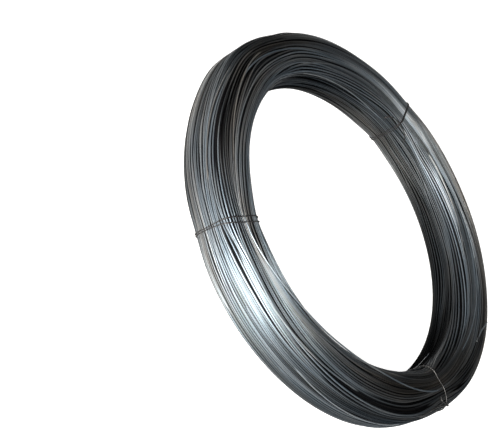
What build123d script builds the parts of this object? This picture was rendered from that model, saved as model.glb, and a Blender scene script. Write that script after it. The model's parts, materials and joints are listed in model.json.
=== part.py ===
"""Tied coil of drawn steel wire, lying flat on one end.

One long wire is laid turn on turn round a drawing block, taken off as a ring and tied by hand in
three places. The ring lies on its end face with its axis upright: +Z is the axis, and the origin
is the middle of the ring on the surface that it rests on. Sizes are in millimetres.

Pieces:
    wire_coil   the ring of turns, with its bore, the grooves between its bunches of turns and the
                waists where the ties pull it in
    front_tie   a wire wrapped twice round the ring, its ends twisted together low in the bore
    back_tie    a wire wrapped twice, its ends twisted together on the upper edge of the bore
    side_tie    a wire wrapped once, its ends twisted together on the upper outer edge
"""

from build123d import *

import os
from math import atan2, cos, degrees, radians, sin

# The ring
bore_diameter = 457.2  # the drawing block that the turns were laid on
outer_diameter = 600.0
coil_height = 70.0
corner_radius = 15.0  # how round the bundle of turns is at its four edges

# The bunches that the turns gather in, with a groove between one bunch and the next
end_face_bunches = 3
wall_bunches = 2
groove_depth = 1.2
groove_width = 2.4

# The waists, where a tie pulls the bundle in
waist_depth = 2.5
waist_floor = 9.0
waist_slope = 8.0  # how far the waist's side runs back up to the bundle's surface

# The ties, in wire of their own
tie_wire_diameter = 1.6
tie_wire_sides = 5
tie_seat_gap = 0.15  # between a tie's wire and the turns that it holds
tie_bend_radius = 2.0
lane_pitch = 4.4  # from one wrap of a tie to the next
front_tie_azimuth = -104.0
back_tie_azimuth = 118.0
side_tie_azimuth = -4.0

# The knots: a tie's two ends stand up from a rounded edge, twisted about each other
twist_pitch = 5.0
twist_gap = 0.1  # between the two strands
twist_bend_radius = 1.5
knot_quarters = 2  # quarter turns of the twist

# Worked out from the sizes above
bore_radius = bore_diameter / 2
outer_radius = outer_diameter / 2
low, high = corner_radius, coil_height - corner_radius
inner, outer = bore_radius + corner_radius, outer_radius - corner_radius
tie_radius = tie_wire_diameter / 2
seat_inset = waist_depth - tie_radius - tie_seat_gap  # of a tie's centre line, below the bundle's surface
twist_radius = (tie_radius + twist_gap / 2) / cos(radians(45))  # at the corners of a strand's path

# The section's rounded edges: each one's centre and the way that its middle faces
UPPER_OUTER = ((outer, high), 45)
LOWER_OUTER = ((outer, low), -45)
LOWER_INNER = ((inner, low), -135)
UPPER_INNER = ((inner, high), -225)
EDGES = [UPPER_OUTER, LOWER_OUTER, LOWER_INNER, UPPER_INNER]  # clockwise


def polar(centre, angle, distance, across=0.0):
    """The point at an angle and a distance from a point of the section."""
    a = radians(angle)
    return Vector(centre[0] + distance * cos(a), centre[1] + distance * sin(a), across)


def flats_along(start, end, count, groove_at_ends):
    """The flats of the bunches between two points of the section, short of the grooves."""
    start, end = Vector(*start), Vector(*end)
    way = (end - start).normalized()
    step = (end - start).length / count
    flats = []
    for k in range(count):
        first = k * step + (groove_width / 2 if k > 0 or groove_at_ends else 0)
        last = (k + 1) * step - (groove_width / 2 if k < count - 1 or groove_at_ends else 0)
        flats.append([start + way * first, start + way * last])
    return flats


def rounded_flats(edge, face_first):
    """The bunch on a rounded edge: two flats, from half a groove off the end face to the wall."""
    centre, middle = edge
    to_face = 45 if middle in (UPPER_OUTER[1], LOWER_INNER[1]) else -45
    half_groove = degrees(groove_width / 2 / corner_radius) * (1 if to_face > 0 else -1)
    angles = [middle + to_face - half_groove, middle, middle - to_face]
    flats = [polar(centre, a, corner_radius) for a in angles]
    return [flats if face_first else flats[::-1]]


def ring_section():
    """The section in the XZ plane: the bunches' flats, joined across by the grooves."""
    flats = rounded_flats(UPPER_INNER, face_first=False)
    flats += flats_along((inner, coil_height), (outer, coil_height), end_face_bunches, True)
    flats += rounded_flats(UPPER_OUTER, face_first=True)
    flats += flats_along((outer_radius, high), (outer_radius, low), wall_bunches, False)
    flats += rounded_flats(LOWER_OUTER, face_first=False)
    flats += flats_along((outer, 0), (inner, 0), end_face_bunches, True)
    flats += rounded_flats(LOWER_INNER, face_first=True)
    points = list(flats[0])
    for flat in flats[1:]:
        across = flat[0] - points[-1]
        if across.length > groove_width / 2:
            inward = Vector(across.Y, -across.X).normalized()
            points.append((points[-1] + flat[0]) / 2 + inward * groove_depth)
            points.append(flat[0])
        points += flat[1:]
    return Plane.XZ * make_face(Polyline(*points, close=True))


def octagon(inset, first_edge=UPPER_OUTER):
    """The bundle's outline as eight straight runs, some way below its surface: its corner points
    clockwise, from the far half of the first edge round to the near half of the same edge."""
    start = EDGES.index(first_edge)
    points = []
    for centre, middle in EDGES[start:] + EDGES[:start]:
        for turned in (22.5, -22.5):
            points.append(polar(centre, middle + turned, (corner_radius - inset) / cos(radians(22.5))))
    return points[1:] + points[:1]


def station(azimuth):
    """The plane across the bundle at an azimuth: its x runs outwards and its y up the axis."""
    a = radians(azimuth)
    return Plane(origin=(0, 0, 0), x_dir=(cos(a), sin(a), 0), z_dir=(sin(a), -cos(a), 0))


def waist(azimuth):
    """What a tie's pull takes off the bundle, all round its section."""
    neck_section = make_face(Polyline(*octagon(waist_depth), close=True))
    flare = 1.4 * waist_slope  # the slope runs on past the surface, which curves away from it
    taper = degrees(atan2(waist_depth, waist_slope))
    neck = extrude(neck_section, waist_floor / 2, both=True)
    slope = extrude(Pos(0, 0, waist_floor / 2) * neck_section, flare, taper=-taper)
    neck += slope + mirror(slope, Plane.XY)
    width, height = outer_radius - bore_radius, coil_height
    slab = Pos((inner + outer) / 2, coil_height / 2) * Rectangle(
        width + 4 * waist_depth, height + 4 * waist_depth
    )
    around = extrude(slab, waist_floor / 2 + flare, both=True)
    return station(azimuth) * (around - neck)


def strand(edge, foot, side):
    """The corner points of one strand of a twist, from its foot up: side is +1 or -1."""
    centre, middle = edge
    up = polar((0, 0), middle, 1)
    sideways = polar((0, 0), middle - 90, side * twist_radius)
    across = Vector(0, 0, side * twist_radius)
    points = []
    for k in range(knot_quarters + 1):
        turned = radians(90 * k)
        axis_point = Vector(*centre) + up * (foot + k * twist_pitch / 4)
        points.append(axis_point + sideways * cos(turned) + across * sin(turned))
    return points


def tie(azimuth, edge, wraps):
    """A tie's wire: down one strand of its knot, round the bundle and up the other strand.

    A second wrap crosses from one lane to the other below the knot, which stands clear of it."""
    crossing = (wraps - 1) * (tie_wire_diameter + tie_seat_gap)
    foot = corner_radius - seat_inset + crossing
    lane = (wraps - 1) * lane_pitch / 2
    points = strand(edge, foot, 1)[::-1]
    for wrap in range(wraps):
        across = Vector(0, 0, lane - wrap * lane_pitch)
        points += [corner + across for corner in octagon(seat_inset, edge)]
    points += strand(edge, foot, -1)

    twist_bends = [twist_bend_radius] * knot_quarters
    radii = twist_bends + [tie_bend_radius] * 8 * wraps + twist_bends
    path = FilletPolyline(*points, radius=radii).wire()
    start = Plane(origin=path.position_at(0), z_dir=path.tangent_at(0))
    wire = sweep(start * RegularPolygon(tie_radius, tie_wire_sides), path=path)
    return station(azimuth) * wire


if __name__ == "__main__":
    os.makedirs("parts", exist_ok=True)
    coil = revolve(ring_section(), Axis.Z, 360)
    for azimuth in (front_tie_azimuth, back_tie_azimuth, side_tie_azimuth):
        coil -= waist(azimuth)
    export_step(coil, "parts/wire_coil.step")
    export_step(tie(front_tie_azimuth, LOWER_INNER, wraps=2), "parts/front_tie.step")
    export_step(tie(back_tie_azimuth, UPPER_INNER, wraps=2), "parts/back_tie.step")
    export_step(tie(side_tie_azimuth, UPPER_OUTER, wraps=1), "parts/side_tie.step")
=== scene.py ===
"""A tied coil of drawn steel wire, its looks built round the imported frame.

The ring lies on its end with its axis upright. Its wire is laid turn by turn: an outer layer whose
turns drift, part and close up as they run round the ring, two layers under it that show in the
gaps, turns that cross over the others, and three ties of softer wire. Lengths are in metres, and
places on the ring are an azimuth in degrees and a distance in millimetres along the section's
outline, counted from the outer end of the lower face up the outer wall, across the upper face
and down the bore.
"""

import json
from math import atan, cos, pi, radians, sin, tau

import bpy
import numpy as np
from bpy.props import FloatProperty, FloatVectorProperty, IntProperty, PointerProperty
from mathutils import Matrix, Vector


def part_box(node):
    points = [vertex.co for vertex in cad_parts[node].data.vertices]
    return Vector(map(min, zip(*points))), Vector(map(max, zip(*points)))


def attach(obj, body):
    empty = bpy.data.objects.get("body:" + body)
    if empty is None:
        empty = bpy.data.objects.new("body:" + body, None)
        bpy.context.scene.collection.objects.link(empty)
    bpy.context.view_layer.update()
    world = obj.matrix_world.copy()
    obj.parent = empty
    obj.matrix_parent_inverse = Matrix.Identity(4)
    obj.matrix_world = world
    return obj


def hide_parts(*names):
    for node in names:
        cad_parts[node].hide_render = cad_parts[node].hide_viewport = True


bl_info = {
    "name": "Tied Wire Coil",
    "version": (1, 0, 0),
    "blender": (4, 5, 0),
    "location": "3D View > Sidebar > Wire Coil",
    "description": "Builds a coil of drawn steel wire turn by turn, with its ties and its stage",
    "category": "Add Mesh",
}

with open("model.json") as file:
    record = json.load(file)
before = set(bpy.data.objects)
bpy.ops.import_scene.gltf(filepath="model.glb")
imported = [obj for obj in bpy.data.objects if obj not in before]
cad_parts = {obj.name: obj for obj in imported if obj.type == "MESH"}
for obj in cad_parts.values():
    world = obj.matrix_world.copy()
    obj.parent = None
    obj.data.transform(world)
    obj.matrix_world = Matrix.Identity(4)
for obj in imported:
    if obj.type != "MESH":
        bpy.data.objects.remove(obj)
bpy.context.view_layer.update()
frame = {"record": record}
ring_low, ring_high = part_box("wire_coil")

MM = 0.001
OUTER_RADIUS = (ring_high.x - ring_low.x) / 2
RING_HEIGHT = ring_high.z - ring_low.z
BORE_RADIUS = next(m["dims"]["r_mm"] for m in frame["record"]["mounts"] if m["name"] == "bore") * MM
MIDDLE_RADIUS = 270 * MM  # where the materials' patterns are true to size round the ring
EDGE_RADIUS = 15 * MM  # of the section's four rounded edges
STATIONS = 180  # points on each turn
AZIMUTHS = np.arange(STATIONS) / STATIONS * tau - pi  # of the stations
SEED = 112


# The turns' paths

# Gaps between two turns: how wide each opens, and the azimuths and places that it runs through.
# The turns beside a gap follow it.
GAPS = (
    # Near side: the long gap on the upper face, and what lies beside it
    (3.2, ((-112, 103), (-90, 100), (-66, 95.5), (-50, 91), (-38, 85), (-25, 81), (-6, 80))),
    (1.0, ((-78, 92.5), (-60, 89), (-45, 83), (-30, 78))),
    (1.3, ((-96, 106.5), (-84, 104.5), (-74, 101), (-60, 97), (-40, 92), (-8, 87))),
    (1.1, ((-84, 117), (-72, 114), (-60, 108), (-45, 102), (-22, 98), (-6, 95))),
    (1.3, ((-60, 119), (-48, 115), (-25, 106), (-6, 100))),
    (1.1, ((-55, 125), (-38, 121), (-25, 115), (-6, 107))),
    (2.2, ((-36, 134), (-22, 129), (-10, 127), (4, 127), (12, 128))),
    (2.1, ((-182, 111), (-166, 119), (-150, 121), (-128, 119.5), (-117, 116), (-104, 112),
           (-92, 112))),
    (2.0, ((-140, 130), (-125, 131), (-115, 129), (-104, 125.5), (-92, 122.5), (-80, 122))),
    (1.3, ((-182, 99), (-165, 104), (-152, 110), (-140, 112), (-128, 111))),
    (2.0, ((-175, 93), (-162, 97), (-150, 102), (-137, 105), (-122, 106), (-110, 104))),
    (1.5, ((-184, 121), (-176, 127), (-166, 133), (-156, 136.5), (-144, 138))),
    (1.6, ((-174, 89), (-160, 88.5), (-150, 87), (-139, 82.5), (-125, 79), (-112, 77))),
    (1.8, ((-148, 93), (-138, 93), (-128, 91), (-118, 88), (-108, 86))),
    (1.8, ((-196, 87), (-184, 88.5), (-172, 87), (-162, 83))),
    (1.6, ((-166, 80), (-152, 75.5), (-144, 70), (-133, 65), (-122, 61))),
    (0.7, ((-144, 70.5), (-134, 68.5), (-122, 66), (-110, 61), (-100, 60))),
    (1.3, ((-160, 51), (-148, 53), (-137, 57), (-126, 58))),
    (2.8, ((-163, 46), (-150, 44.5), (-140, 42), (-128, 37), (-116, 36))),
    (2.1, ((-130, 46.5), (-122, 44.5), (-114, 46.5))),
    (1.3, ((-114, 49.5), (-108, 48.5), (-100, 46), (-94, 46))),
    (1.3, ((-106, 50.5), (-96, 49.5), (-82, 45), (-70, 43), (-50, 42.5), (-32, 42))),
    (1.2, ((-106, 45), (-92, 40.5), (-80, 38.5), (-68, 37), (-58, 38))),
    (1.3, ((-104, 41.5), (-88, 36.5), (-75, 34.5), (-58, 35.5), (-38, 34))),
    (1.1, ((-80, 32), (-70, 31), (-60, 27), (-46, 26))),
    (1.0, ((-118, 24.5), (-110, 26.5), (-102, 25), (-96, 23), (-84, 22.5))),
    (1.0, ((-90, 59), (-83, 57.5), (-74, 55.5))),
    (0.9, ((-80, 65), (-66, 66), (-52, 67.5), (-34, 66))),
    (0.8, ((-84, 82.5), (-70, 79.5), (-58, 76.5), (-48, 73.5), (-34, 70))),
    (0.7, ((-146, 31), (-130, 32), (-114, 34))),
    # Far side: the upper face and the bore, from the side tie round to the back
    (1.7, ((14, 124), (24, 126), (31, 128), (41, 132.5), (52, 136.5), (64, 140.5), (80, 143.5),
           (104, 147))),
    (0.5, ((30, 122), (40, 125.5), (52, 130), (70, 135), (84, 137))),
    (2.6, ((50, 120), (60, 119), (70, 117), (81, 117.5), (92, 121), (106, 124.5), (116, 126.5))),
    (1.0, ((22, 105), (34, 107.5), (46, 108), (58, 109), (70, 111))),
    (1.7, ((-4, 103), (3, 97.5), (17, 90.5), (31, 88), (45, 89), (56, 92), (66, 98), (78, 105),
           (90, 110))),
    (1.4, ((-2, 96), (4, 90), (9, 83))),
    (1.2, ((-6, 106), (5, 103), (16, 99), (30, 96), (44, 95))),
    (1.2, ((-6, 112), (5, 109), (16, 107), (28, 103))),
    (1.1, ((-6, 119), (6, 116), (18, 114), (32, 112))),
    (1.5, ((50, 81), (60, 83), (70, 87), (82, 92.5))),
    (1.0, ((-6, 128.5), (8, 132), (20, 137), (35, 144), (50, 150.5), (66, 154), (84, 157))),
    (0.9, ((-6, 131.5), (8, 142), (20, 150), (35, 157), (52, 160))),
    (1.1, ((-4, 138), (6, 156), (18, 165), (32, 169), (46, 172), (58, 175), (76, 178))),
    (1.2, ((6, 172), (18, 182), (34, 188), (52, 191), (66, 190))),
    (1.0, ((56, 175), (72, 179), (90, 183), (108, 186))),
    (0.9, ((58, 165), (72, 168), (84, 171), (96, 174))),
    # The back, round to where the near side's gaps begin
    (1.0, ((121, 133.5), (135, 136.5), (150, 138), (168, 139), (184, 137))),
    (1.3, ((127, 130.5), (138, 132), (150, 134), (166, 136))),
    (1.2, ((130, 111), (142, 113), (154, 116), (168, 120.5), (182, 122))),
    (1.7, ((146, 101), (156, 102), (165, 103), (180, 105.5))),
    (2.8, ((130, 174), (143, 173), (153, 176), (165, 178), (178, 176))),
    (1.0, ((146, 169), (158, 167), (170, 161), (180, 152), (191, 141))),
    (1.5, ((148, 156), (160, 153.5), (172, 150), (182, 144), (192, 138.5))),
    (0.8, ((120, 153.5), (136, 152), (152, 150))),
    (1.5, ((116, 190), (134, 191.5), (152, 194), (168, 195))),
)

# Where the turns spread or crowd with no gap to show it: azimuth and place, reach each way, shift
SWAYS = ((-4, 132, 30, 22, -12), (-4, 170, 34, 26, -16), (-4, 78, 24, 14, 4))

# How unevenly the turns lie, sideways and into the bundle: a size in millimetres, and how many
# turns and degrees a swell reaches over
DRIFTS = ((0.8, 22, 70), (0.45, 1.0, 30))
DIPS = ((0.45, 5, 50), (0.42, 0.7, 36))
SHALLOWEST, DEEPEST = -0.3 * MM, 4 * MM  # how far a turn leaves its layer

# Where the ring is out of round: azimuth, reach and how far it bulges
BULGE = (-161, 12, 4.6 * MM)

HEART_DEPTH = 5.0 * MM  # under the outer turns
HEART_SIDES = 96
HIDDEN = -2.9 * MM  # height of a crossing turn where it lies under the outer layer

# Turns that cross over the others: azimuth, place and height over the outer turns
CROSSINGS = (
    ((-107, 109, -0.3), (-101, 109.5, 0.2), (-96, 112, 0.3), (-88, 120, 0.3), (-78, 130, 0.15),
     (-66, 137, 1.8), (-52, 139, 3.0), (-39, 136, 1.3), (-33, 132, 0.3), (-28, 127, 0.2),
     (-16, 112, 0.3), (-6, 100, 0.1)),
    ((-60, 52, -0.3), (-40, 44, 0.3), (-20, 38, -0.3)),
    ((-165, 94, -0.3), (-145, 101, 0.3), (-125, 108, -0.3)),
    ((-150, 74, -0.3), (-134, 66, 0.3), (-118, 60, -0.3)),
    ((-84, 84, -0.3), (-66, 88, 0.3), (-48, 90, -0.3)),
    ((60, 133, -0.3), (82, 127, 0.3), (100, 124, -0.3)),
    ((18, 118, -0.3), (38, 112, 0.3), (58, 104, -0.3)),
    ((128, 160, -0.3), (150, 154, 0.3), (172, 146, -0.3)),
    ((135, 120, -0.3), (158, 124, 0.3), (180, 131, -0.3)),
    ((160, 108, -0.3), (182, 102, 0.3), (204, 99, -0.3)),
    ((92, 40, -0.3), (120, 50, 0.3), (150, 55, -0.3)),
    ((10, 30, -0.3), (40, 42, 0.3), (75, 48, -0.3)),
    ((-30, 20, -0.3), (0, 33, 0.3), (30, 38, -0.3)),
    ((150, 30, -0.3), (180, 24, 0.3), (205, 26, -0.3)),
    ((-150, 168, -0.3), (-110, 176, 0.3), (-70, 182, -0.3)),
    ((-60, 160, -0.3), (-20, 170, 0.3), (10, 176, -0.3)),
)

# The wire's outer end, tucked in over the upper outer edge: azimuth, place and height over the
# bundle's surface
WIRE_END = (
    (27, 95, -3.4),
    (30.5, 93.5, -2.2),
    (33, 90.5, -1.5),
    (35.2, 85.5, -1.3),
    (37.4, 79.5, -0.5),
)

# Painted shade and painted highlights, with brown oxide, by azimuth and place: how far each
# reaches, the share of light that it leaves and how brown it is. Under 1 it is painted shade; over
# 1 it is a painted highlight.
PAINTED_LIGHT_AND_OXIDE = (
    (12, 182, 46, 34, 0.1, 0.3),  # the bore's wall, painted dark: painted shade
    (98, 180, 24, 34, 0.45, 0.0),
    (72, 188, 30, 22, 0.25, 0.0),
    (165, 178, 42, 36, 0.4, 0.0),
    (85, 133, 10, 7, 1.6, 0.0),
    (88, 107, 15, 13, 0.54, 0.0),
    (28, 106, 26, 24, 0.52, 0.0),
    (106, 112, 11, 40, 0.7, 0.1),
    (60, 84, 50, 12, 0.8, 0.6),
    (-8, 112, 30, 30, 0.5, 0.5),
    (-36, 38, 26, 44, 0.6, 0.0),
    (-90, 72, 15, 14, 1.7, 0.0),
    (-88, 92, 16, 6, 0.6, 0.0),
    (-93, 115, 15, 22, 0.52, 0.1),
    (-101, 116, 12, 10, 0.7, 0.6),
    (-115, 6, 75, 18, 0.3, 0.0),
    (-164, 60, 32, 50, 0.6, 0.3),
    (-150, 105, 38, 30, 0.9, 0.45),
)

# Ties: azimuth, where the two ends are twisted together, and for each wrap its distance off the
# middle at places round the section, + towards a smaller azimuth
TIES = {
    "front_tie": (
        -104.0,
        203.9,
        (
            ((15, 2.0), (48, 1.2), (84, 1.8), (125, 2.6), (142, 2.4), (204, 2.2)),
            ((15, -1.0), (48, -1.4), (84, -5.8), (125, -5.4), (142, -3.6), (204, -2.2)),
        ),
    ),
    "back_tie": (
        118.0,
        140.3,
        (
            ((15, 2.2), (80, 1.8), (133, 1.6), (142, 1.6), (156, 3.6), (180, 1.8), (204, 2.2)),
            ((15, -2.2), (80, -0.2), (133, -0.2), (142, -0.4), (156, -1.6), (180, -0.4),
             (204, -2.2)),
        ),
    ),
    "side_tie": (
        -4.0,
        76.0,
        (((15, 0), (76, 0), (88, -2.5), (100, -6.5), (112, -2.5), (130, 0), (204, 0)),),
    ),
}

# Each tie's two tails past its twist: azimuth, place and height over the bundle's surface
TAILS = {
    "front_tie": (
        ((-104.9, 199, 2.2), (-105.8, 190, 0.2), (-106.2, 180, 0.0)),
        ((-103.1, 200, 2.4), (-102.3, 193, 0.8), (-102.0, 186, 1.6)),
    ),
    "back_tie": (
        ((116.4, 141, 1.8), (114.2, 143, 0.4), (112, 148, -0.2), (110.4, 154, 0.4)),
        ((119.6, 140, 1.9), (121.8, 141, 0.6), (123.4, 145, 0.0), (124.3, 152, 0.5)),
    ),
    "side_tie": (
        ((-5.2, 79, 1.2), (-6.4, 83, -0.4), (-6.4, 88, -1.1), (-5.8, 91, -1.0)),
        ((-6.2, 78, 1.4), (-9.5, 79.5, 0.2), (-14, 77, 0.0), (-18, 73.5, 0.8)),
    ),
}
SEAT = -1.25  # height of a tie's middle line over the bundle's surface
TWIST = 1.25 * tau  # how far a tie's two ends are turned about each other

# What each tie's pull does to the section: how many degrees it reaches round the ring, and how many
# millimetres it draws the outline in and rounds its edges
PULLS = {"front_tie": (13, 0.0, 1.0), "back_tie": (11, 0.0, 1.0), "side_tie": (17, 0.4, 4.0)}
WAIST_REACH = 7  # degrees to each side of a tie in which the turns are pressed together
WAIST = 1.2 * MM  # how much the turns draw in there


def linear(colour):
    """An sRGB hex colour as linear red, green and blue."""
    parts = [int(colour[k : k + 2], 16) / 255 for k in (0, 2, 4)]
    return [p / 12.92 if p <= 0.04045 else ((p + 0.055) / 1.055) ** 2.4 for p in parts]


def wrapped(distance, period):
    """A distance on a closed line, the short way round."""
    return (distance + period / 2) % period - period / 2


def apart(first, second):
    """The angle from the second azimuth to the first, the short way round."""
    return wrapped(first - second, tau)


def bell(theta, azimuth, reach, power=2):
    """1 at an azimuth, falling to 0 beyond its reach to both sides. A higher power makes it flatter
    in the middle and steeper at its sides."""
    return np.exp(-((apart(theta, radians(azimuth)) / radians(reach)) ** power))


def segments(inset=0.0):
    """Lengths of the eight stretches of the outline at an inset: an edge, then a face, from the
    lower outer edge on."""
    edge_radius = EDGE_RADIUS - inset
    wall = RING_HEIGHT - 2 * inset - 2 * edge_radius
    face = OUTER_RADIUS - BORE_RADIUS - 2 * inset - 2 * edge_radius
    edge = edge_radius * pi / 2
    return [edge, wall, edge, face, edge, wall, edge, face]


def outline_point(stretch, share, inset, edge_radius):
    """Points of the section's outline and the way out of it at each, in radius and height: share is
    how far along its stretch a point lies."""
    stretch, share, inset, edge_radius = np.broadcast_arrays(stretch, share, inset, edge_radius)
    corner = stretch // 2  # 0 lower outer, 1 upper outer, 2 upper inner, 3 lower inner
    right = (corner == 0) | (corner == 1)
    above = (corner == 1) | (corner == 2)
    keep = inset + edge_radius
    x = np.where(right, OUTER_RADIUS - keep, BORE_RADIUS + keep)
    z = np.where(above, RING_HEIGHT - keep, keep)
    on_edge = stretch % 2 == 0
    turned = (corner - 1 + np.where(on_edge, share, 1.0)) * pi / 2
    out_x, out_z = np.cos(turned), np.sin(turned)
    wall = RING_HEIGHT - 2 * keep
    face = OUTER_RADIUS - BORE_RADIUS - 2 * keep
    along = np.where(on_edge, 0.0, share) * np.where(corner % 2 == 0, wall, face)
    x = x + edge_radius * out_x - out_z * along
    z = z + edge_radius * out_z + out_x * along
    return x, z, out_x, out_z


def to_stretches(place, lengths):
    """Which stretch each distance along an outline falls on, and how far along it."""
    ends = np.cumsum(lengths)
    place = np.mod(place, ends[-1])
    stretch = np.minimum(np.searchsorted(ends, place, side="right"), len(lengths) - 1)
    return stretch, (place - (ends - lengths)[stretch]) / np.asarray(lengths)[stretch]


def moved_to(lengths, place):
    """Distances in millimetres along the section's outline as distances along another outline,
    stretch by stretch."""
    stretch, share = to_stretches(np.asarray(place) * MM, segments())
    starts = np.cumsum(lengths) - lengths
    return starts[stretch] + share * np.asarray(lengths)[stretch]


def smooth_noise(rng, rows, turns_reach, azimuth_reach):
    """Noise over turns and stations that runs on across both seams: mean 0, spread 1. The reaches
    are in turns and in degrees."""
    spectrum = np.fft.fft2(rng.standard_normal((rows, STATIONS)))
    across = np.fft.fftfreq(rows)[:, None] * turns_reach
    along = np.fft.fftfreq(STATIONS)[None, :] * azimuth_reach / 360 * STATIONS
    field = np.fft.ifft2(spectrum * np.exp(-4 * (across**2 + along**2))).real
    field -= field.mean()
    return field / field.std()


def lens(theta, start, end):
    """1 halfway between two azimuths, tapering to 0 at both."""
    middle = radians((start + end) / 2)
    half = radians((end - start) / 2)
    return np.clip(1 - (apart(theta, middle) / half) ** 2, 0, None) ** 1.5


def gap_route(points, lengths):
    """A gap's place at each station on a layer's outline, how far it counts there, and its shape: 1
    halfway along, tapering to 0 at both ends."""
    fade = 22.0  # degrees past a gap's end over which the turns stop following it
    azimuth, place = np.array(points).T
    on = azimuth[0] - fade + (np.degrees(AZIMUTHS) - azimuth[0] + fade) % 360
    beyond = np.clip(np.maximum(azimuth[0] - on, on - azimuth[-1]) / fade, 0, 1)
    run = np.clip((on - azimuth[0]) / (azimuth[-1] - azimuth[0]), 0, 1)
    at = np.interp(on, azimuth, moved_to(lengths, place))
    return at, 0.5 + 0.5 * np.cos(pi * beyond), (4 * run * (1 - run)) ** 0.8


def flow(homes, lengths):
    """How far the gaps carry each turn from its home at each station, how wide the gap after each
    turn opens, how deep its sides sink, and where no gap leads: 1 there, 0 at a gap."""
    stay = 0.08  # how strongly a turn keeps to its home against a gap's pull of 1
    shift = np.zeros((len(homes), STATIONS))
    weight = np.full((len(homes), STATIONS), stay)
    width, sink = np.zeros_like(shift), np.zeros_like(shift)
    perimeter = sum(lengths)
    for opening, points in GAPS:
        at, counts, shape = gap_route(points, lengths)
        home = np.average(at, weights=counts)
        off = wrapped(homes - home, perimeter)[:, None] / MM
        # The turns within 5 mm go with the gap, and those within 18 mm follow faintly
        pull = counts * (np.exp(-((off / 5) ** 2)) + 0.05 * np.exp(-((off / 18) ** 2)))
        shift += pull * (at - home)
        weight += pull
        before = np.argmin(np.abs(off[:, 0] + perimeter / len(homes) / MM / 2))
        width[before] += opening * MM * shape
        # The sides of a wider gap sink deeper
        sink[before] += (0.4 + 0.35 * opening) * MM * shape
    return shift / weight, width, sink, stay / weight


def small_gaps(rng, turns, count):
    """The many fine gaps that open between turns anywhere: how wide, and how deep they sink."""
    width = np.zeros((turns, STATIONS))
    for _ in range(count):
        middle = rng.uniform(-180, 180)
        half = rng.uniform(8, 34)
        opening = 0.1 + rng.gamma(1.2, 0.36)  # about half a millimetre, now and then over one
        width[rng.integers(turns)] += opening * MM * lens(AZIMUTHS, middle - half, middle + half)
    width *= 1 - 0.85 * bell(AZIMUTHS, -88, 24, 4)  # the turns lie close beside the front tie
    return width, 0.3 * width


def crossing_route(points, lengths):
    """The place on an outline and the height over the turns at each station of a turn that crosses
    the others. Off its points it lies in the layer below."""
    azimuth, place, height = np.array(points).T
    azimuth, place, height = np.radians(azimuth), moved_to(lengths, place), height * MM
    run_in = radians(5)
    azimuth = np.concatenate([[azimuth[0] - run_in], azimuth, [azimuth[-1] + run_in]])
    place = np.concatenate([[place[0]], place, [place[-1]]])
    height = np.concatenate([[HIDDEN], height, [HIDDEN]])
    on = azimuth[0] + (AZIMUTHS - azimuth[0]) % tau
    place = np.interp(on, [*azimuth, azimuth[0] + tau], [*place, place[0]])
    height = np.interp(on, [*azimuth, azimuth[0] + tau], [*height, HIDDEN])
    return rounded(place), rounded(height)


def spread_crowded(place, perimeter, least):
    """Moves turns that crowd together closer than the least distance apart from each other."""
    for _ in range(24):
        step = np.roll(place, -1, 0) - place
        step[-1] += perimeter
        tight = np.clip(least - step, 0, None)
        place = place - tight / 2 + np.roll(tight, 1, 0) / 2
    return place


def rounded(values, reach=4.0):
    """Values round the ring with their corners rounded over a few degrees."""
    along = np.fft.fftfreq(STATIONS) * reach / 360 * STATIONS
    return np.fft.ifft(np.fft.fft(values) * np.exp(-8 * along**2)).real


def beside_gaps(turns, reach):
    """How much each gap moves each turn: + on the side it opens towards, less further off."""
    step = wrapped(np.arange(turns)[:, None] - np.arange(turns)[None, :] - 0.5, turns)
    return np.sign(step) * np.exp(-(np.abs(step) - 0.5) / reach)


class Layer:
    """One layer of turns: where each turn's middle runs, in radius and height at each station."""

    def __init__(self, coil, turns, depth, flow_share, gap_count, seed):
        rng = np.random.default_rng(seed)
        inset = coil.outer_inset + depth
        own = segments(inset)
        perimeter = sum(own)
        homes = (np.arange(turns) + 0.5) / turns * perimeter
        shift, width, sink, unled = flow(homes, own)
        fine_width, fine_sink = small_gaps(rng, turns, gap_count)

        place = homes[:, None] + flow_share * shift
        for azimuth, where, reach, place_reach, sway in SWAYS:
            off = wrapped(homes - moved_to(own, where), perimeter)
            shape = np.exp(-((off / (place_reach * MM)) ** 2))[:, None]
            place += flow_share * sway * MM * (shape * bell(AZIMUTHS, azimuth, reach)) * unled
        place += beside_gaps(turns, 4.0) @ (flow_share * width + fine_width) / 2
        for size, turns_reach, azimuth_reach in DRIFTS:
            place += size * MM * smooth_noise(rng, turns, turns_reach, azimuth_reach)
        place = spread_crowded(rounded(place), perimeter, 0.6 * coil.wire_diameter)

        down = np.abs(beside_gaps(turns, 0.8)) @ (sink + fine_sink)
        for size, turns_reach, azimuth_reach in DIPS:
            down += size * MM * smooth_noise(rng, turns, turns_reach, azimuth_reach)
        if depth == 0:
            down += given_way(place, own)
        down = np.clip(down, SHALLOWEST, DEEPEST)
        down = down * (1 - 0.75 * near_ties(AZIMUTHS))  # level where a tie presses them
        x, z, out_x, out_z = laid_point(place, inset)
        down = down + rounded(nudged_under(x, z, coil.wire_diameter))
        self.x, self.z = x - out_x * down, z - out_z * down
        self.depth = depth + down
        self.place = place


def given_way(place, lengths):
    """How far the turns sink under those that cross over them, most where one lies on top."""
    deepest, reach = 1.5 * MM, 2.2 * MM
    down = np.zeros_like(place)
    for crossing in CROSSINGS:
        route, height = crossing_route(crossing, lengths)
        off = wrapped(place - route, sum(lengths))
        down += deepest * (np.exp(-((off / reach) ** 2)) * np.clip(1.5 + height / MM, 0, 1))
    return down


def nudged_under(x, z, diameter):
    """How far turns sink that are pushed closer than their diameter: every other goes under."""
    step = np.hypot(np.roll(x, -1, 0) - x, np.roll(z, -1, 0) - z)
    under = np.sqrt(np.clip(diameter * diameter - step * step, 0, diameter * diameter))
    pushed = np.maximum(under, np.roll(under, 1, 0))
    pushed[::2] = 0
    return pushed


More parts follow.
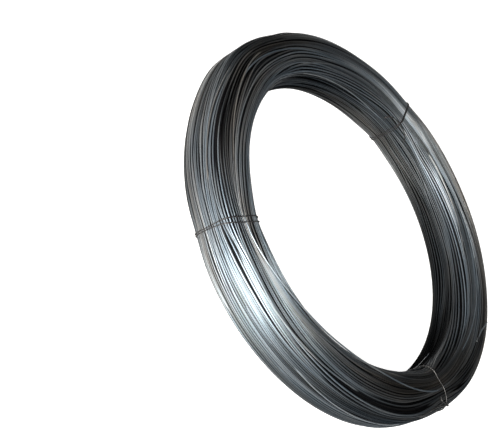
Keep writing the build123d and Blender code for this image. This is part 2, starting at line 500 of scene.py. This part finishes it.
def near_ties(theta):
    """1 under a tie, falling to 0 a little way off."""
    return np.max([bell(theta, azimuth, WAIST_REACH) for azimuth, _, _ in TIES.values()], axis=0)


def pinch(theta):
    """How much the ties' pull draws the bundle's outline in at each azimuth, and how much it rounds
    its edges."""
    squeeze, rounding = 0.0, 0.0
    for name, (reach, drawn_in, rounder) in PULLS.items():
        near = bell(theta, TIES[name][0], reach)
        squeeze = squeeze + drawn_in * MM * near
        rounding = rounding + rounder * MM * near
    return squeeze, rounding


def laid_point(place, inset):
    """The outline's points at a row of places for each turn, with the ties' waists and the bulge
    where the ring is out of round, kept within the ring's width."""
    squeeze, rounding = pinch(AZIMUTHS)
    squeeze = squeeze + WAIST * near_ties(AZIMUTHS)
    stretch, share = to_stretches(place, segments(inset))
    x, z, out_x, out_z = outline_point(
        stretch, share, inset + squeeze, EDGE_RADIUS - inset + rounding
    )
    azimuth, reach, height = BULGE
    room = OUTER_RADIUS / np.abs(np.cos(AZIMUTHS)) - OUTER_RADIUS
    bulge = np.minimum(height * bell(AZIMUTHS, azimuth, reach), room)
    outwards = np.clip((x - BORE_RADIUS) / (OUTER_RADIUS - BORE_RADIUS), 0, 1)
    return x + bulge * outwards, z, out_x, out_z


def turn_shades(rng, place):
    """How light each turn's surface is: each has its own shade, which changes slowly along it, and
    bunches of turns that were drawn and handled together share one."""
    turns = len(place)
    own = 0.17 * rng.standard_normal((turns, 1)) + 0.18 * smooth_noise(rng, turns, 0.7, 40)
    bunches = 0.28 * smooth_noise(rng, turns, 4, 45) + 0.16 * smooth_noise(rng, turns, 1.8, 25)
    in_bore = np.exp(-(((place.mean(1) / MM - 165) / 28) ** 4))[:, None]  # evenly soaped
    return np.exp((own + bunches) * (1 - 0.5 * in_bore))


def painted_light_and_oxide(place, inset):
    """The share of light that the painted shade and painted highlights leave on turns, and how
    brown the oxide makes them, by the turns' places on their own outline."""
    own = segments(inset)
    painted_light, brown = np.ones(place.shape), np.zeros(place.shape)
    for azimuth, where, reach, place_reach, share, brownness in PAINTED_LIGHT_AND_OXIDE:
        off = wrapped(place - moved_to(own, where), sum(own))
        shape = np.exp(-((off / (place_reach * MM)) ** 4)) * bell(AZIMUTHS, azimuth, reach, 4)
        # A share under 1 paints shade, over 1 paints a highlight; the brown is oxide
        painted_light *= 1 - (1 - share) * shape
        brown = np.maximum(brown, brownness * shape)
    return painted_light, brown


# Loose wires: the ties, and the coil's own end


def on_ring(azimuth, place, height):
    """Points over the bundle's surface, from azimuths in degrees and places and heights in mm."""
    theta, place, height = np.broadcast_arrays(np.radians(azimuth), place, height)
    squeeze, rounding = pinch(theta)
    stretch, share = to_stretches(place * MM, segments())
    x, z, _, _ = outline_point(
        stretch, share, squeeze - height * MM, EDGE_RADIUS + rounding + height * MM
    )
    return np.stack([x * np.cos(theta), x * np.sin(theta), z], -1)


def through(points, step):
    """A smooth line through points, with a point about every step."""
    before, after = 2 * points[0] - points[1], 2 * points[-1] - points[-2]
    knots = np.concatenate([[before], points, [after]])
    line = []
    for a, b, c, d in zip(knots, knots[1:], knots[2:], knots[3:]):
        count = max(1, round(np.linalg.norm(c - b) / step))
        t = (np.arange(count) / count)[:, None]
        bend = 2 * a - 5 * b + 4 * c - d + t * (3 * (b - c) + d - a)
        line.append(b + 0.5 * t * (c - a + t * bend))
    return np.concatenate([*line, points[-1:]])


def tie_line(name, radius):
    """A tie's middle line from one tail's tip to the other's: down its half of the twist, round the
    bundle once for each wrap and back up the other half."""
    azimuth, knot, wraps = TIES[name]
    perimeter = sum(segments()) / MM
    run = np.arange(knot, knot + perimeter * len(wraps), 1.5)  # millimetres along the outline
    lap = ((run - knot) // perimeter).astype(int)
    across = np.zeros(len(run))
    for wrap, lane in enumerate(wraps):
        places, offs = np.array(lane).T
        offs = np.interp(run % perimeter, places, offs, period=perimeter)
        across = np.where(lap == wrap, offs, across)
    # Stiff wire goes from lane to lane in bends, which a running mean over 11 points gives
    across = np.convolve(np.pad(across, 5, mode="edge"), np.ones(11) / 11, mode="valid")
    reach = np.linalg.norm(on_ring(0, run % perimeter, SEAT)[:, :2], axis=1)
    body = on_ring(azimuth - np.degrees(across * MM / reach), run % perimeter, SEAT)

    turned = np.linspace(0, TWIST, 24)
    up = np.linspace(SEAT + 1.7, 2.6, len(turned))  # from the seat to clear of the bundle
    at = np.linalg.norm(on_ring(0, knot, 0)[:2])
    strands = []
    for side, tail in zip((1, -1), TAILS[name]):
        along = side * radius / MM * np.cos(turned)
        swing = side * radius * np.sin(turned)
        twist = on_ring(azimuth - np.degrees(swing / at), knot + along, up)
        strands.append(np.concatenate([twist, on_ring(*np.array(tail).T)]))
    return through(np.concatenate([strands[0][::-1], body[3:-2], strands[1]]), 1.2 * MM)


# Meshes

STRIP = 0.9  # share of its strip of the bake's map that a tube fills


def add_attribute(mesh, name, values):
    """Gives the points of a mesh a value each, or all the same one."""
    values = np.broadcast_to(np.ravel(values), len(mesh.vertices)).astype(np.float32)
    mesh.attributes.new(name, "FLOAT", "POINT").data.foreach_set("value", values)


def add_bake_map(mesh, spots):
    """The map that materials are baked on, with a spot for each corner of each face."""
    spots = np.asarray(spots, np.float32).ravel()
    mesh.uv_layers.new(name="OFBake").data.foreach_set("uv", spots)


def ring_mesh(name, x, z, shade, warmth, deep_shade):
    """A mesh of closed tubes round the ring. x and z are the radius and height of its points, by
    tube, by station and round the tube; the last three, the turns' own tone with painted light and
    shade, the brown of the oxide, and the painted shade deep in the bundle, are held in the same
    way."""
    tubes, stations, sides = x.shape
    theta = AZIMUTHS[:, None]
    points = np.stack([x * np.cos(theta), x * np.sin(theta), z], -1)
    index = np.arange(x.size).reshape(x.shape)
    on, up = np.roll(index, -1, 1), np.roll(index, -1, 2)
    quads = np.stack([index, on, np.roll(up, -1, 1), up], -1).reshape(-1, 4)
    mesh = bpy.data.meshes.new(name)
    mesh.vertices.add(x.size)
    mesh.vertices.foreach_set("co", points.astype(np.float32).ravel())
    mesh.loops.add(quads.size)
    mesh.loops.foreach_set("vertex_index", quads.astype(np.int32).ravel())
    mesh.polygons.add(len(quads))
    mesh.polygons.foreach_set("loop_start", np.arange(0, quads.size, 4, dtype=np.int32))
    mesh.update(calc_edges=True)
    mesh.polygons.foreach_set("use_smooth", np.ones(len(quads), bool))
    # A strip of the map for each tube, with the way round the tube across it
    tube, station, side = (i.reshape(-1, 1) for i in np.indices(x.shape))
    u = (station + np.array([0, 1, 1, 0])) / stations
    v = (tube + (side + np.array([0, 0, 1, 1])) / sides * STRIP) / tubes
    add_bake_map(mesh, np.stack([u, v], -1))
    for attribute, values in (("shade", shade), ("warmth", warmth), ("deep_shade", deep_shade)):
        add_attribute(mesh, attribute, np.broadcast_to(values, x.shape))
    mesh.validate()
    return mesh


def turn_mesh(name, radius, sides, x, z, shade, warmth, deep_shade):
    """A mesh of turns. The last five hold a row for each turn and a column for each station, or
    only one column."""
    around = np.arange(sides) / sides * tau
    x = x[:, :, None] + radius * np.cos(around)
    z = z[:, :, None] + radius * np.sin(around)
    return ring_mesh(name, x, z, shade[:, :, None], warmth[:, :, None], deep_shade[:, :, None])


def tube_mesh(name, line, radius, sides):
    """A mesh of an open tube along a line, cut off square at both ends."""
    ahead = np.gradient(line, axis=0)
    ahead /= np.linalg.norm(ahead, axis=1)[:, None]
    side = np.cross(ahead[0], (0.3, 0.5, 0.8))  # any way across the line
    points, faces, spots = [], [], []
    for point, way in zip(line, ahead):
        side = side - way * side.dot(way)
        side /= np.linalg.norm(side)
        other = np.cross(way, side)
        for turned in np.arange(sides) / sides * tau:
            points.append(point + radius * (side * cos(turned) + other * sin(turned)))
    step, width = 1 / len(line), STRIP / sides
    for k in range(len(line) - 1):
        for j in range(sides):
            first, second = k * sides + j, k * sides + (j + 1) % sides
            faces.append((first, second, second + sides, first + sides))
            u, v = k * step, j * width
            spots += [(u, v), (u, v + width), (u + step, v + width), (u + step, v)]
    last = len(points) - sides
    for first, order in ((0, range(sides - 1, -1, -1)), (last, range(sides))):
        faces.append(tuple(first + j for j in order))
        for turned in (j / sides * tau for j in order):
            spots.append((0.995 + 0.004 * cos(turned), 0.95 + 0.02 * sin(turned)))
    mesh = bpy.data.meshes.new(name)
    mesh.from_pydata(points, [], faces)
    mesh.polygons.foreach_set("use_smooth", [len(face) == 4 for face in faces])
    add_bake_map(mesh, spots)
    return mesh


def add_piece(name, mesh, material, slot, *replaced):
    """Links a piece, gives it its material and puts it in the frame."""
    piece = bpy.data.objects.new(name, mesh)
    bpy.context.scene.collection.objects.link(piece)
    mesh.materials.append(material)
    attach(piece, "root")
    if replaced:
        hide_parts(*replaced)
    return piece


# Materials


def add(tree, kind, inputs=None, **settings):
    """Adds a node with its settings, and gives its sockets values or links. A node given for a link
    stands for its first output."""
    node = tree.nodes.new(kind)
    for name, value in settings.items():
        setattr(node, name, value)
    for socket, value in (inputs or {}).items():
        if isinstance(value, bpy.types.Node):
            value = value.outputs[0]
        if isinstance(value, bpy.types.NodeSocket):
            tree.links.new(value, node.inputs[socket])
        else:
            node.inputs[socket].default_value = value
    return node


def new_material(name):
    material = bpy.data.materials.new(name)
    material.use_nodes = True
    material.node_tree.nodes.clear()
    return material, material.node_tree


def round_coordinates(tree):
    """Places as distance round the ring, radius and height, in metres, so that a pattern can run
    along the turns."""
    place = add(tree, "ShaderNodeTexCoord").outputs["Object"]
    x, y, z = add(tree, "ShaderNodeSeparateXYZ", {0: place}).outputs
    turned = add(tree, "ShaderNodeMath", {0: y, 1: x}, operation="ARCTAN2")
    run = add(tree, "ShaderNodeMath", {0: turned, 1: MIDDLE_RADIUS}, operation="MULTIPLY")
    flat = add(tree, "ShaderNodeCombineXYZ", {0: x, 1: y})
    out = add(tree, "ShaderNodeVectorMath", {0: flat}, operation="LENGTH").outputs["Value"]
    return add(tree, "ShaderNodeCombineXYZ", {0: run, 1: out, 2: z})


def drawn_steel(coil):
    """Cold-drawn steel wire, smoothed by the die and under a thin dark oxide: the eye gets a long
    soft highlight across the turns, grey-blue metal with brownish patches, and fine lines along
    each turn. Painted shade and painted highlights are multiplied into its colour from the turns'
    attributes, and the turns deep in the bundle are painted near-black as painted shade."""
    name = "Cold-drawn steel wire, thinly oxidised"
    if name in bpy.data.materials:
        return bpy.data.materials[name]
    material, tree = new_material(name)
    place = round_coordinates(tree)
    shade, warmth, deep_shade = (
        add(tree, "ShaderNodeAttribute", attribute_name=kind).outputs["Fac"]
        for kind in ("shade", "warmth", "deep_shade")
    )
    # Oxide in patches some 70 mm long and 5 mm wide, thicker and duller where it is brown
    patches = add(
        tree,
        "ShaderNodeVectorMath",
        {0: place, 1: (1 / (70 * MM), 1 / (5 * MM), 1 / (5 * MM))},
        operation="MULTIPLY",
    )
    oxide = add(tree, "ShaderNodeTexNoise", {"Vector": patches, "Scale": 1.0, "Detail": 4.0})
    tinted = add(tree, "ShaderNodeMath", {0: oxide, 1: warmth}, operation="ADD")
    tinted = add(tree, "ShaderNodeMapRange", {0: tinted, 1: 0.35, 2: 1.3, 3: 0.0, 4: 1.0})
    tint = add(
        tree,
        "ShaderNodeMix",
        {0: tinted, 6: (*coil.steel_colour, 1), 7: (*coil.warm_colour, 1)},
        data_type="RGBA",
    )
    # Painted shade: the turns deep in the bundle are mixed towards a near-black colour
    deep_shaded = add(
        tree,
        "ShaderNodeMix",
        {0: deep_shade, 6: tint.outputs[2], 7: (*coil.deep_shade_colour, 1)},
        data_type="RGBA",
    )
    # The die's lines are a hundredth of a millimetre wide, drawn here 0.3 mm wide so that they show
    drawn = add(
        tree,
        "ShaderNodeVectorMath",
        {0: place, 1: (1 / (90 * MM), 1 / (0.3 * MM), 1 / (0.3 * MM))},
        operation="MULTIPLY",
    )
    lines = add(tree, "ShaderNodeTexNoise", {"Vector": drawn, "Scale": 1.0, "Detail": 1.0})
    streaks = add(tree, "ShaderNodeMapRange", {0: lines, 1: 0.3, 2: 0.7, 3: 0.82, 4: 1.18})
    light = add(tree, "ShaderNodeMath", {0: shade, 1: streaks}, operation="MULTIPLY")
    colour = add(tree, "ShaderNodeVectorMath", {0: deep_shaded.outputs[2], 3: light}, operation="SCALE")
    # The turns' own tone and the painted light and shade scale the glancing reflection as well
    glancing = add(tree, "ShaderNodeCombineXYZ", {0: shade, 1: shade, 2: shade})
    rough = add(tree, "ShaderNodeMapRange", {0: oxide, 1: 0.3, 2: 0.7, 3: 0.4, 4: 0.53})
    relief = add(tree, "ShaderNodeBump", {"Height": lines, "Distance": 0.02 * MM, "Strength": 0.4})
    finish = {
        "Base Color": colour,
        "Metallic": 1.0,
        "Specular Tint": glancing,
        "Roughness": rough,
        "Normal": relief,
    }
    shader = add(tree, "ShaderNodeBsdfPrincipled", finish)
    add(tree, "ShaderNodeOutputMaterial", {"Surface": shader})
    return material


def annealed_iron(ties):
    """Black-annealed tie wire, soft iron under a matt black scale: the eye gets a dull dark line,
    lighter where bending and handling have flaked the scale off."""
    name = "Black-annealed iron tie wire"
    if name in bpy.data.materials:
        return bpy.data.materials[name]
    material, tree = new_material(name)
    wear = add(tree, "ShaderNodeAttribute", attribute_name="wear").outputs["Fac"]
    place = add(tree, "ShaderNodeTexCoord").outputs["Object"]
    # Flakes of the scale about 1.5 mm across, and finer ones on them
    scale = add(tree, "ShaderNodeTexNoise", {"Vector": place, "Scale": 0.7 / MM, "Detail": 3.0})
    flaked = add(tree, "ShaderNodeMath", {0: scale, 1: wear}, operation="ADD")
    bare = add(tree, "ShaderNodeMapRange", {0: flaked, 1: 0.6, 2: 1.4, 3: 0.0, 4: 1.0})
    colour = add(
        tree,
        "ShaderNodeMix",
        {0: bare, 6: (*ties.iron_colour, 1), 7: (*ties.bare_colour, 1)},
        data_type="RGBA",
    )
    rough = add(tree, "ShaderNodeMapRange", {0: bare, 1: 0.0, 2: 1.0, 3: 0.62, 4: 0.4})
    relief = add(tree, "ShaderNodeBump", {"Height": scale, "Distance": 0.05 * MM, "Strength": 0.5})
    finish = {
        "Base Color": colour.outputs[2],
        "Metallic": 1.0,
        "Roughness": rough,
        "Normal": relief,
    }
    shader = add(tree, "ShaderNodeBsdfPrincipled", finish)
    add(tree, "ShaderNodeOutputMaterial", {"Surface": shader})
    return material


# Settings


class CoilSettings(bpy.types.PropertyGroup):
    """Sizes and colours of the coil's turns."""

    wire_diameter: FloatProperty(
        name="Wire diameter",
        description="Of the wire that the coil is laid from",
        default=2.25 * MM,
        unit="LENGTH",
    )
    outer_inset: FloatProperty(
        name="Inset",
        description="From the frame's surface to the middle of the outer turns",
        default=1.5 * MM,
        unit="LENGTH",
    )
    outer_turns: IntProperty(
        name="Outer turns",
        description="Turns side by side round the section in the outer layer",
        default=94,
    )
    steel_colour: FloatVectorProperty(
        name="Steel",
        description="Metal colour of the drawn wire",
        default=linear("5c666e"),
        subtype="COLOR",
    )
    warm_colour: FloatVectorProperty(
        name="Warm steel",
        description="Metal colour where the oxide is brownish",
        default=linear("64605b"),
        subtype="COLOR",
    )
    # Painted shade: the near-black colour that the turns deep in the bundle are painted
    deep_shade_colour: FloatVectorProperty(
        name="Painted deep shade",
        description="Colour of the turns deep down, dark with drawing soap and dust",
        default=linear("09090b"),
        subtype="COLOR",
    )


class TieSettings(bpy.types.PropertyGroup):
    """Sizes and colours of the ties."""

    wire_diameter: FloatProperty(
        name="Wire diameter",
        description="Of the tie wire",
        default=1.6 * MM,
        unit="LENGTH",
    )
    iron_colour: FloatVectorProperty(
        name="Iron",
        description="Colour of the annealed iron's scale",
        default=linear("2c2c2d"),
        subtype="COLOR",
    )
    bare_colour: FloatVectorProperty(
        name="Bare iron",
        description="Metal colour where the scale has flaked off",
        default=linear("a4a3a0"),
        subtype="COLOR",
    )


class StageSettings(bpy.types.PropertyGroup):
    """The camera, the lights and the floor."""

    lens: FloatProperty(
        name="Lens",
        description="Focal length on a 36 mm sensor",
        default=79.71,
        subtype="DISTANCE_CAMERA",
    )
    distance: FloatProperty(
        name="Distance",
        description="From the camera to the middle of the ring",
        default=1.634,
        unit="LENGTH",
    )
    elevation: FloatProperty(
        name="Elevation",
        description="How far the camera looks down on the ring",
        default=radians(34.23),
        subtype="ANGLE",
    )
    roll: FloatProperty(
        name="Roll",
        description="How far the camera is turned about its own line of sight",
        default=radians(64.42),
        subtype="ANGLE",
    )
    middle: FloatVectorProperty(
        name="Middle",
        description="Where the ring's middle falls in the picture, in pixels",
        default=(349.54, 223.70),
        size=2,
    )


# Operators


class COIL_OT_turns(bpy.types.Operator):
    """Lays the coil's turns: the outer layer in two halves, and the layers under it"""

    bl_idname = "coil.turns"
    bl_label = "Lay the turns"

    def execute(self, context):
        coil = context.scene.coil
        # Turns, depth, how closely they follow the gaps, fine gaps, sides of the wire, pieces
        layers = (
            (coil.outer_turns, 0.0, 1.0, 210, 8, ("coil_turns_low", "coil_turns_high")),
            (92, 2.1 * MM, 0.55, 120, 6, ("coil_turns_under",)),
            (86, 4.2 * MM, 0.3, 60, 4, ("coil_turns_deep",)),
        )
        for number, (turns, depth, flow_share, gap_count, sides, names) in enumerate(layers):
            layer = Layer(coil, turns, depth, flow_share, gap_count, SEED + number)
            rng = np.random.default_rng(SEED + 50 + number)
            painted_light, brown = painted_light_and_oxide(layer.place, coil.outer_inset + depth)
            # The turns' own tone, times the painted shade and painted highlights
            shade = turn_shades(rng, layer.place) * painted_light
            warmth = np.clip(0.12 + 0.7 * brown + 0.14 * smooth_noise(rng, turns, 6, 70), 0, 1)
            # Painted shade: the turns more than 2 mm down, and all of the turns under the outer
            # layer, are painted towards near-black
            deep_shade = np.clip((layer.depth - 2.0 * MM) / (0.5 * MM), 0.94 * (number > 0), 0.95)
            rows = np.array_split(np.arange(turns), len(names))
            for name, part in zip(names, rows):
                kept = (values[part] for values in (layer.x, layer.z, shade, warmth, deep_shade))
                mesh = turn_mesh(name, coil.wire_diameter / 2, sides, *kept)
                add_piece(name, mesh, drawn_steel(coil), "coil_wire", "wire_coil")
        return {"FINISHED"}


class COIL_OT_crossings(bpy.types.Operator):
    """Adds the turns that cross over the others, and the wire's outer end"""

    bl_idname = "coil.crossings"
    bl_label = "Cross some turns over"

    def execute(self, context):
        coil = context.scene.coil
        rng = np.random.default_rng(SEED + 80)
        inset = coil.outer_inset
        routes = [crossing_route(points, segments(inset)) for points in CROSSINGS]
        place, height = (np.array(values) for values in zip(*routes))
        x, z, out_x, out_z = laid_point(place, inset)
        x, z = x + out_x * height, z + out_z * height
        # They stand clear of the others and are painted lighter, the first one most: a painted
        # highlight. Where they dive under they are painted darker: painted shade.
        shade = 1.25 + 0.15 * rng.standard_normal((len(CROSSINGS), 1))
        shade[0] = 1.5
        warmth = np.clip(0.3 + 0.2 * rng.standard_normal(shade.shape), 0, 1)
        deep_shade = np.clip((-1.6 * MM - height) / (0.5 * MM), 0, 0.93)
        radius = coil.wire_diameter / 2
        mesh = turn_mesh("coil_crossing_turns", radius, 8, x, z, shade, warmth, deep_shade)
        add_piece("coil_crossing_turns", mesh, drawn_steel(coil), "coil_wire", "wire_coil")
        end = through(on_ring(*np.array(WIRE_END).T), 2 * MM)
        mesh = tube_mesh("coil_wire_end", end, radius, 10)
        # The end is painted lighter than the turns: a painted highlight
        for name, value in (("shade", 1.6), ("warmth", 0.3), ("deep_shade", 0.0)):
            add_attribute(mesh, name, value)
        add_piece("coil_wire_end", mesh, drawn_steel(coil), "coil_wire", "wire_coil")
        return {"FINISHED"}


class COIL_OT_ties(bpy.types.Operator):
    """Wraps the three ties round the bundle and twists their ends together"""

    bl_idname = "coil.ties"
    bl_label = "Tie the coil"

    def execute(self, context):
        ties = context.scene.ties
        radius = ties.wire_diameter / 2
        for name, wear in (("front_tie", 0.12), ("back_tie", 0.05), ("side_tie", 0.12)):
            mesh = tube_mesh(name + "_wire", tie_line(name, radius), radius, 8)
            add_attribute(mesh, "wear", wear)
            add_piece(name + "_wire", mesh, annealed_iron(ties), "tie_wire", name)
        return {"FINISHED"}


class COIL_OT_heart(bpy.types.Operator):
    """Makes the body of turns that no gap reaches through, painted near-black as painted shade"""

    bl_idname = "coil.heart"
    bl_label = "Fill the heart"

    def execute(self, context):
        coil = context.scene.coil
        inset = coil.outer_inset + HEART_DEPTH
        around = np.arange(HEART_SIDES) / HEART_SIDES * sum(segments(inset))
        x, z, _, _ = laid_point(around[:, None], inset)
        # Painted shade: the body is painted darker and mixed fully to the near-black colour
        mesh = ring_mesh("coil_heart", x.T[None], z.T[None], shade=0.7, warmth=0.3, deep_shade=1.0)
        add_piece("coil_heart", mesh, drawn_steel(coil), "coil_wire", "wire_coil")
        return {"FINISHED"}


class COIL_OT_stage(bpy.types.Operator):
    """Sets up the floor, the lights and the camera"""

    bl_idname = "coil.stage"
    bl_label = "Set the stage"

    def execute(self, context):
        scene, stage = context.scene, context.scene.stage
        scene.view_settings.view_transform = "Standard"
        self.floor(scene)
        self.lights(scene)
        self.camera(scene, stage)
        return {"FINISHED"}

    def floor(self, scene):
        reach = 6.0
        corners = [(-reach, -reach, 0), (reach, -reach, 0), (reach, reach, 0), (-reach, reach, 0)]
        mesh = bpy.data.meshes.new("floor")
        mesh.from_pydata(corners, [], [(0, 1, 2, 3)])
        floor = bpy.data.objects.new("floor", mesh)
        scene.collection.objects.link(floor)
        # White to the eye and in reflections, and grey in the light that it throws on the coil
        material, tree = new_material("White matt paper")
        path = add(tree, "ShaderNodeLightPath").outputs
        seen = path["Is Camera Ray"]
        for ray in ("Is Glossy Ray", "Is Transmission Ray"):
            seen = add(tree, "ShaderNodeMath", {0: seen, 1: path[ray]}, operation="MAXIMUM")
        lift = add(tree, "ShaderNodeMath", {0: seen, 1: 0.8}, operation="MULTIPLY")
        paper = add(tree, "ShaderNodeBsdfDiffuse", {"Color": (*linear("aaaaaa"), 1)})
        glow = add(tree, "ShaderNodeEmission", {"Color": (1, 1, 1, 1), "Strength": lift})
        both = add(tree, "ShaderNodeAddShader", {0: paper, 1: glow})
        add(tree, "ShaderNodeOutputMaterial", {"Surface": both})
        mesh.materials.append(material)

    def lights(self, scene):
        world = bpy.data.worlds.new("studio")
        world.use_nodes = True
        background = world.node_tree.nodes["Background"]
        background.inputs["Color"].default_value = (*linear("e5f2ff"), 1)
        background.inputs["Strength"].default_value = 0.2
        scene.world = world
        for name, azimuth, elevation, distance, width, depth, power in (
            ("key", -83, 29, 2.4, 1.1, 1.0, 320),
            ("fill", 180, 40, 3.0, 2.0, 2.0, 30),
        ):
            lamp = bpy.data.lights.new(name, "AREA")
            lamp.shape = "RECTANGLE"
            lamp.size, lamp.size_y, lamp.energy = width, depth, power
            lamp.color = linear("fffaf4")
            turned, raised = radians(azimuth), radians(elevation)
            way = Vector((cos(turned) * cos(raised), sin(turned) * cos(raised), sin(raised)))
            light = bpy.data.objects.new(name, lamp)
            light.location = way * distance
            light.rotation_euler = way.to_track_quat("Z", "Y").to_euler()
            scene.collection.objects.link(light)

    def camera(self, scene, stage):
        width, height, sensor = 500, 440, 36.0  # the picture in pixels, the sensor in millimetres
        pixels = stage.lens / sensor * width
        across = (stage.middle[0] - width / 2) / pixels
        up = -(stage.middle[1] - height / 2) / pixels
        pan = atan(across)
        tilt = atan(up * cos(pan))
        data = bpy.data.cameras.new("camera")
        data.lens, data.sensor_width = stage.lens, sensor
        camera = bpy.data.objects.new("camera", data)
        eye = Vector((0, -cos(stage.elevation), sin(stage.elevation))) * stage.distance
        turn = (
            Matrix.Rotation(pi / 2 - stage.elevation, 4, "X")
            @ Matrix.Rotation(stage.roll, 4, "Z")
            @ Matrix.Rotation(-tilt, 4, "X")
            @ Matrix.Rotation(pan, 4, "Y")
        )
        camera.matrix_world = Matrix.Translation(eye + Vector((0, 0, RING_HEIGHT / 2))) @ turn
        scene.collection.objects.link(camera)
        scene.camera = camera


class COIL_PT_sidebar(bpy.types.Panel):
    """Lists the coil's settings and its operators"""

    bl_idname = "COIL_PT_sidebar"
    bl_label = "Wire Coil"
    bl_space_type = "VIEW_3D"
    bl_region_type = "UI"
    bl_category = "Wire Coil"

    def draw(self, context):
        for group in (context.scene.coil, context.scene.ties, context.scene.stage):
            for name in group.__annotations__:
                self.layout.prop(group, name)
        for operator in OPERATORS:
            self.layout.operator(operator.bl_idname)


OPERATORS = (COIL_OT_stage, COIL_OT_turns, COIL_OT_crossings, COIL_OT_heart, COIL_OT_ties)
CLASSES = (CoilSettings, TieSettings, StageSettings, *OPERATORS, COIL_PT_sidebar)


def register():
    for cls in CLASSES:
        bpy.utils.register_class(cls)
    bpy.types.Scene.coil = PointerProperty(type=CoilSettings)
    bpy.types.Scene.ties = PointerProperty(type=TieSettings)
    bpy.types.Scene.stage = PointerProperty(type=StageSettings)


def unregister():
    del bpy.types.Scene.stage, bpy.types.Scene.ties, bpy.types.Scene.coil
    for cls in reversed(CLASSES):
        bpy.utils.unregister_class(cls)


def main():
    register()
    bpy.ops.coil.stage()
    bpy.ops.coil.turns()
    bpy.ops.coil.crossings()
    bpy.ops.coil.heart()
    bpy.ops.coil.ties()


if __name__ == "__main__":
    main()
